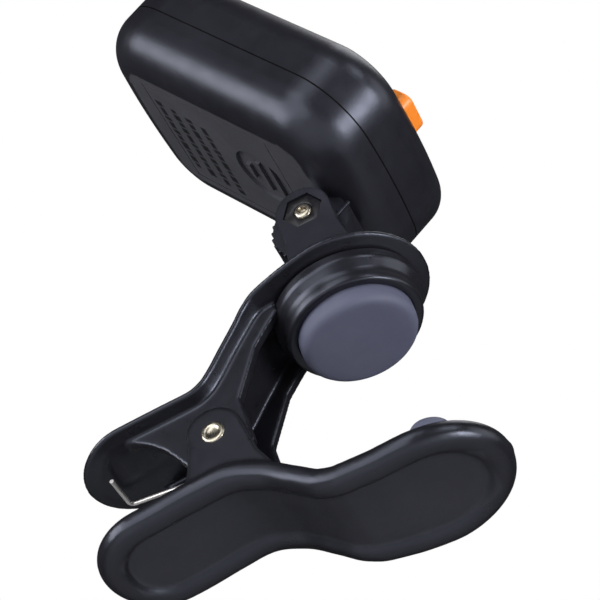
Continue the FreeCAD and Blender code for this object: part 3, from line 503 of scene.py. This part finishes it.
def upper_ear():
    """The outline of the upper lever's ear: its back edge, round the rivet, its front edge up to the
    disc, and back along the plate."""
    back = smooth_curve([(-13.0, 6.9), (-10.8, 5.9), (-8.8, 4.4), (-7.0, 2.3), (-5.6, -0.2), (-4.3, -2.6),
                         (-2.2, -4.1)])
    outline = [(x, back(x)) for x in spaced(-UPPER_EAR_REACH, -2.2, 41)]
    outline += [(2.2, -4.1), (4.4, -2.2), (4.4, 4.8), (8.6, 11.6), (11.0, 13.9), (UPPER_EAR_REACH, 15.6)]
    for along in spaced(UPPER_EAR_REACH, -UPPER_EAR_REACH, 27):
        x, _, z = upper_plate.spot(along, 0, -UPPER_ROOT)
        outline.append((x, z))
    return outline


def upper_arm():
    pieces = [upper_plate.mesh("upper_plate", UPPER_SECTION, UPPER)]
    pieces += ear_pair("upper_ear", upper_ear(), 4.9, 6.5, UPPER)
    arm = fused("upper_arm_skin", pieces, LEVER_VOXEL, passes=5)
    finished(arm, "upper_lever", LEVER, ["upper_arm"])


lower_arm()
upper_arm()


# ---- pads ----

def pad_cup():
    cup = turned("pad_cup_skin", [
        (4.2, 16.5), (4.2, 14.2), (8.02, 14.2), (8.02, 12.3), (8.15, 12.05), (8.6, 12.0), (8.95, 12.0),
        (9.2, 12.1), (9.35, 12.4), (9.4, 13.2), (9.45, 13.9), (9.6, 14.2), (10.1, 14.9), (10.28, 15.2),
        (10.3, 15.6), (10.3, 16.5),
    ], DISC)
    finished(cup, "upper_lever", LEVER, ["pad_cup"], angle=50)


def upper_pad():
    pad = turned("upper_pad_skin", [
        (0, 14.1), (7.95, 14.1), (8.0, 12.6), (8.0, 11.0), (7.95, 10.5), (7.8, 10.1), (7.55, 9.8),
        (7.15, 9.6), (6.6, 9.52), (5.5, 9.5), (3.0, 9.5), (0, 9.5),
    ], DISC)
    finished(pad, "upper_lever", RUBBER, ["upper_pad"])


def lower_pad():
    pad = turned("lower_pad_skin", [
        (0, -5.5), (2.85, -5.5), (2.9, -4.4), (2.9, -1.2), (2.8, -0.65), (2.55, -0.25), (2.15, -0.06),
        (1.6, 0.0), (0, 0.0),
    ], Matrix.Scale(MM, 4))
    finished(pad, "lower_lever", RUBBER, ["lower_pad"])


pad_cup()
upper_pad()
lower_pad()


# ---- rivet and torsion spring ----

RIVET_END = [(1.2, 8.2), (1.55, 8.2), (1.6, 8.3), (1.55, 8.42), (1.4, 8.5), (1.2, 8.54), (1.0, 8.53),
             (0.86, 8.47), (0.74, 8.4), (0.4, 8.35), (0, 8.33)]
WIRE_RADIUS = 0.3
COIL_RADIUS = 2.4
COIL_HALF = 3.0
COIL_START = math.radians(-69.5)
COIL_END = math.radians(90 + 360 * 4)
COIL_POINTS = 181
LEG_BEND = 0.9
LOWER_FOOT = (-14.4, -7.95)     # where each leg turns across its lever, in X and Z
UPPER_FOOT = (-16.37, 1.83)


def pivot_rivet():
    other_end = [(radius, -lift) for radius, lift in RIVET_END[::-1]]
    rivet = turned("rivet_skin", other_end + RIVET_END, LOWER, along="y")
    finished(rivet, "lower_lever", NICKEL, ["pivot_rivet"], angle=60)


def softened(points, radius, steps=6):
    """A path through the points with each inner corner rounded."""
    points = [Vector(point) for point in points]
    path = [points[0]]
    for before, here, after in zip(points, points[1:], points[2:]):
        reach = min(radius, (before - here).length / 2, (after - here).length / 2)
        start = here + (before - here).normalized() * reach
        end = here + (after - here).normalized() * reach
        for n in range(steps + 1):
            t = n / steps
            path.append(start * (1 - t) ** 2 + here * 2 * t * (1 - t) + end * t * t)
    path.append(points[-1])
    return path


def wire(name, path, radius, matrix, sides=16):
    """A round wire along a path, with closed ends."""
    path = [Vector(point) for point in path]
    points, faces = [], []
    normal = Vector((0.1, 1, 0.2))
    for n, point in enumerate(path):
        along = (path[min(n + 1, len(path) - 1)] - path[max(n - 1, 0)]).normalized()
        normal = (normal - along * normal.dot(along)).normalized()
        other = along.cross(normal)
        for side in range(sides):
            angle = math.tau * side / sides
            points.append(point + (normal * math.cos(angle) + other * math.sin(angle)) * radius)
    for n in range(len(path) - 1):
        for side in range(sides):
            m = (side + 1) % sides
            faces.append([n * sides + side, n * sides + m, (n + 1) * sides + m, (n + 1) * sides + side])
    last = (len(path) - 1) * sides
    faces.append(list(range(sides))[::-1])
    faces.append(list(range(last, last + sides)))
    return new_object(name, points, faces, matrix)


def torsion_spring():
    """The coil round the rivet, with a leg along each lever that bends across it at its foot."""
    turns, sides = spaced(COIL_START, COIL_END, COIL_POINTS), spaced(-1, 1, COIL_POINTS)
    coil = [(COIL_RADIUS * math.cos(turn), COIL_HALF * side, COIL_RADIUS * math.sin(turn))
            for turn, side in zip(turns, sides)]
    x, z = LOWER_FOOT
    lower_leg = softened([(x, COIL_HALF, z), (x, -COIL_HALF, z), coil[0]], LEG_BEND)
    x, z = UPPER_FOOT
    upper_leg = softened([coil[-1], (x, COIL_HALF, z), (x, -COIL_HALF, z)], LEG_BEND)
    spring = wire("spring_skin", lower_leg + coil[1:-1] + upper_leg, WIRE_RADIUS, LOWER)
    finished(spring, None, WIRE, ["torsion_spring"])
    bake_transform(spring)


pivot_rivet()
torsion_spring()


# ---- yoke, nut and screw ----

TILT_HEIGHT = 29.8
NUT_FLATS = 5.0
PIN_RADIUS = 1.25


def hexagon(flats):
    """A hexagon round the tilt axis, given across its flats."""
    return circle(0, TILT_HEIGHT, flats / 2 / math.cos(math.radians(30)), 6)


def hinge_yoke():
    foot = turned("yoke_foot", [
        (0, 18.62), (9.3, 18.62), (9.6, 18.8), (9.6, 19.3), (9.3, 19.6), (7.6, 20.5), (5.9, 21.6),
        (5.2, 22.2), (4.6, 22.9), (0, 23.2),
    ], DISC)
    ear = [(-4.6, 21.5), (-3.9, 25.5)] + circle(0, TILT_HEIGHT, 3.9, 24, math.pi, 0) \
        + [(3.9, 25.5), (4.6, 21.5)]
    yoke = fused("yoke_skin", [foot] + ear_pair("yoke_ear", ear, 3.7, 6.6, DISC), voxel=0.14, passes=4)
    cut(yoke, prism("nut_pocket", hexagon(NUT_FLATS + 0.1), -7.6, -4.7, DISC, along="y"))
    cut(yoke, prism("pin_bore", circle(0, TILT_HEIGHT, PIN_RADIUS, 40), -8.0, 8.0, DISC, along="y"))
    finished(yoke, "yoke", CASING, ["hinge_yoke"])


def hinge_nut():
    nut = prism("nut_skin", hexagon(NUT_FLATS), -6.4, -4.75, DISC, along="y")
    cut(nut, prism("nut_thread", circle(0, TILT_HEIGHT, PIN_RADIUS + 0.05, 40), -7.0, -4.0, DISC, along="y"))
    finished(rounded(nut, 0.14), "yoke", DARK_STEEL, ["hinge_nut"])


def hinge_screw():
    """The cross screw: its end shows in the nut, with the last threads, and its head is on the far side."""
    screw = turned("screw_skin", [
        (0, -6.0), (0.45, -6.05), (0.55, -6.45), (0.62, -6.6), (0.95, -6.58), (1.15, -6.45),
        (PIN_RADIUS, -6.25), (1.2, -6.1), (PIN_RADIUS, -5.9), (1.2, -5.7), (PIN_RADIUS, -5.5),
        (PIN_RADIUS, 6.6), (2.1, 6.6), (2.3, 6.8), (2.3, 7.4), (2.0, 7.85), (1.5, 8.1), (1.1, 8.1),
        (1.1, 7.5), (0, 7.4),
    ], DISC, centre=(0, 0, TILT_HEIGHT), along="y")
    finished(screw, "yoke", NICKEL, ["hinge_screw"])


hinge_yoke()
hinge_nut()
hinge_screw()


# ---- head ----

PARTING = 12.4
BACK_FACE = 4.4
HEAD_MIDDLE = Vector((-21.0, 0))
LINE_PROUD, LINE_DEEP, LINE_HALF = 0.003, 0.3, 0.11
LUG_RADIUS = 5.5
LUG_HALF = 3.35
TEETH, FIRST_TOOTH, TOOTH_PITCH = 13, 150, 12       # the last two in degrees
DASH_ROWS = (-34.3, -31.3, -28.3, -25.3)
DASH_LENGTHS = (1.1, 1.7, 0.8, 1.4, 0.9)
DASH_HALF_WIDTHS = (0.65, 0.5, 0.7, 0.55)
DASH_GAP = 0.4


def parting_outline():
    """The outline of the casing where its two shells meet, read from the rear shell's own rim."""
    rim = [HEAD.inverted() @ vertex.co for vertex in frame["nodes"]["rear_shell"].data.vertices]
    rim = [Vector((point.x, point.y)) for point in rim if abs(point.z - PARTING) < 0.01]
    return [rim[n] for n in convex_hull_2d(rim)]


def parting_line():
    """A thin dark line round the head, a hair proud of the joint between its two shells: painted shade for
    the shadow in that joint.
    """
    loop = parting_outline()
    rings = []
    for lift, height in ((LINE_PROUD, -LINE_HALF), (LINE_PROUD, LINE_HALF), (-LINE_DEEP, LINE_HALF),
                         (-LINE_DEEP, -LINE_HALF)):
        ring = []
        for x, y in loop:
            out = (Vector((x, y)) - HEAD_MIDDLE).normalized() * lift
            ring.append((x + out.x, y + out.y, PARTING + height))
        rings.append(ring)
    count = len(loop)
    faces = []
    for k in range(4):
        for n in range(count):
            m, following = (n + 1) % count, (k + 1) % 4
            faces.append([k * count + n, k * count + m, following * count + m, following * count + n])
    line = new_object("parting_line", [point for ring in rings for point in ring], faces, HEAD)
    finished(line, "head", GROOVE_PAINTED_SHADE)


def lug_teeth():
    """Fine click teeth round the free side of the lug."""
    half = LUG_HALF - 0.15
    pieces = []
    for n in range(TEETH):
        angle = math.radians(FIRST_TOOTH + n * TOOTH_PITCH)
        away = Vector((math.cos(angle), math.sin(angle)))
        along = Vector((-math.sin(angle), math.cos(angle)))
        root, crest = away * (LUG_RADIUS - 0.3), away * (LUG_RADIUS + 0.32)
        corners = [root - along * 0.42, root + along * 0.42, crest + along * 0.16, crest - along * 0.16]
        pieces.append(prism("tooth", [tuple(corner) for corner in corners], -half, half, HEAD, along="y"))
    finished(rounded(joined("lug_teeth", pieces), 0.08, 2), "head", CASING)


def lug_rib():
    """The short raised rib on the near side of the lug."""
    rib = prism("lug_rib", rectangle(2.2, 2.0, 2.75, 5.5), -LUG_HALF - 0.25, -LUG_HALF + 0.2, HEAD, along="y")
    finished(rounded(rib, 0.1), "head", CASING)


def door_dashes():
    """Rows of plain moulded dashes on the battery door."""
    pieces = []
    for row, x in enumerate(DASH_ROWS):
        y, n = 0.5 * row - 7.4, 0
        while y < 7.5 + 0.4 * row:
            length = DASH_LENGTHS[(n + 2 * row) % len(DASH_LENGTHS)]
            half = DASH_HALF_WIDTHS[(n + row) % len(DASH_HALF_WIDTHS)]
            pieces.append(prism("dash", rectangle(x - half, y, x + half, y + length),
                                BACK_FACE - 0.015, BACK_FACE + 0.1, HEAD))
            y += length + DASH_GAP
            n += 1
    finished(joined("door_dashes", pieces), "door", MARKS)


parting_line()
lug_teeth()
lug_rib()
door_dashes()


# ---- materials of the CAD pieces ----

CAD_MATERIALS = {
    "rear_shell": CASING, "front_shell": CASING, "battery_door": PANEL_PAINTED_LIGHT, "friction_washers": NYLON,
    "swivel_screw": NICKEL, "swivel_washer": WIRE, "display_window": WINDOW, "lcd_glass": LCD,
    "backlight_guide": GUIDE, "lcd_connector": ZEBRA, "circuit_board": BOARD, "tuner_chip": CHIP,
    "board_components": CERAMIC, "tact_switch": WIRE, "piezo_disc": BRASS, "coin_cell": NICKEL,
    "battery_contact_positive": WIRE, "battery_contact_negative": WIRE, "case_screws": NICKEL,
    "power_button": ORANGE,
}


def paint_back():
    """Give the flat back of the rear shell the door's material, whose lighter colour is painted light on the
    flat back.
    """
    shell = frame["nodes"]["rear_shell"].data
    shell.materials.append(PANEL_PAINTED_LIGHT)
    for face in shell.polygons:
        corners = [HEAD.inverted() @ shell.vertices[n].co for n in face.vertices]
        if all(abs(corner.z - BACK_FACE) < 0.02 for corner in corners):
            face.material_index = 1


for node, material in CAD_MATERIALS.items():
    materials = frame["nodes"][node].data.materials
    materials.clear()
    materials.append(material)
paint_back()


# ---- studio: camera, lights, world and floor ----

CAMERA_RIGHT = Vector((0.926, 0.3603, -0.1154)).normalized()
CAMERA_BACK = Vector((0.205, -0.7332, -0.6487)).normalized()
CAMERA_UP = CAMERA_BACK.cross(CAMERA_RIGHT)
CAMERA_PLACE = Vector((0.04882, -0.2258, -0.17245))
MIDDLE = Vector((-0.012, 0, 0.032))
FLOOR_HEIGHT = -0.35
FLOOR_HALF = 3


def place_camera():
    camera = linked("camera", bpy.data.cameras.new("camera"))
    camera.data.lens = 137.5
    camera.data.sensor_width = 36
    camera.data.clip_start = 0.01
    axes = Matrix((CAMERA_RIGHT, CAMERA_UP, CAMERA_BACK)).transposed().to_4x4()
    camera.matrix_world = Matrix.Translation(CAMERA_PLACE) @ axes
    bpy.context.scene.camera = camera


def softbox(name, right, up, back, size, watts):
    """A rectangular area light, placed along the camera's own axes and aimed at the object."""
    light = bpy.data.lights.new(name, "AREA")
    light.shape = "RECTANGLE"
    light.size, light.size_y = size
    light.energy = watts
    place = MIDDLE + CAMERA_RIGHT * right + CAMERA_UP * up + CAMERA_BACK * back
    aim = (MIDDLE - place).to_track_quat("-Z", "Y").to_matrix().to_4x4()
    linked(name, light).matrix_world = Matrix.Translation(place) @ aim


def studio_world():
    """A faint cool light all round, which the camera sees as white."""
    world = bpy.data.worlds.new("studio")
    bpy.context.scene.world = world
    world.use_nodes = True
    nodes, links = world.node_tree.nodes, world.node_tree.links
    background = nodes["Background"]
    background.inputs["Color"].default_value = (0.9, 0.93, 1.0, 1)
    background.inputs["Strength"].default_value = 0.035
    backdrop = nodes.new("ShaderNodeBackground")
    backdrop.inputs["Color"].default_value = (1, 1, 1, 1)
    backdrop.inputs["Strength"].default_value = 1.0
    eye = nodes.new("ShaderNodeLightPath")
    choice = nodes.new("ShaderNodeMixShader")
    links.new(eye.outputs["Is Camera Ray"], choice.inputs["Fac"])
    links.new(background.outputs["Background"], choice.inputs[1])
    links.new(backdrop.outputs["Background"], choice.inputs[2])
    links.new(choice.outputs["Shader"], nodes["World Output"].inputs["Surface"])


def pale_floor():
    """A plain pale floor that glows a little for the camera, so that the dim light leaves it pale."""
    corners = [(x, y, FLOOR_HEIGHT) for x, y in rectangle(-FLOOR_HALF, -FLOOR_HALF, FLOOR_HALF, FLOOR_HALF)]
    floor = new_object("floor", corners, [[0, 1, 2, 3]], Matrix.Identity(4))
    pale = surface("pale_floor", (0.80, 0.80, 0.80), (0.83, 0.83, 0.83), (0.55, 0.65), grain=60, patch=4)
    nodes, links = pale.node_tree.nodes, pale.node_tree.links
    shader = nodes["Principled BSDF"]
    shader.inputs["Emission Color"].default_value = (0.62, 0.62, 0.63, 1)
    eye = nodes.new("ShaderNodeLightPath")
    links.new(eye.outputs["Is Camera Ray"], shader.inputs["Emission Strength"])
    floor.data.materials.append(pale)


place_camera()
softbox("key", -0.25, 0.50, 0.30, (0.35, 0.25), 0.8)
softbox("side", -0.55, 0.06, 0.12, (0.30, 0.40), 2.5)
softbox("front", -0.37, 0.20, 0.42, (0.50, 0.42), 1.9)
softbox("corner", 0.44, 0.04, 0.34, (0.22, 0.20), 2.3)
softbox("crest", 0.25, 0.41, 0.27, (0.18, 0.18), 0.5)
softbox("fill", 0.55, 0.20, 0.05, (0.35, 0.35), 0.7)
softbox("low", -0.1, -0.45, 0.30, (0.4, 0.3), 0.08)
softbox("rim", 0.2, 0.5, -0.4, (0.5, 0.3), 1.1)
studio_world()
pale_floor()
bpy.context.scene.view_settings.view_transform = "Standard"
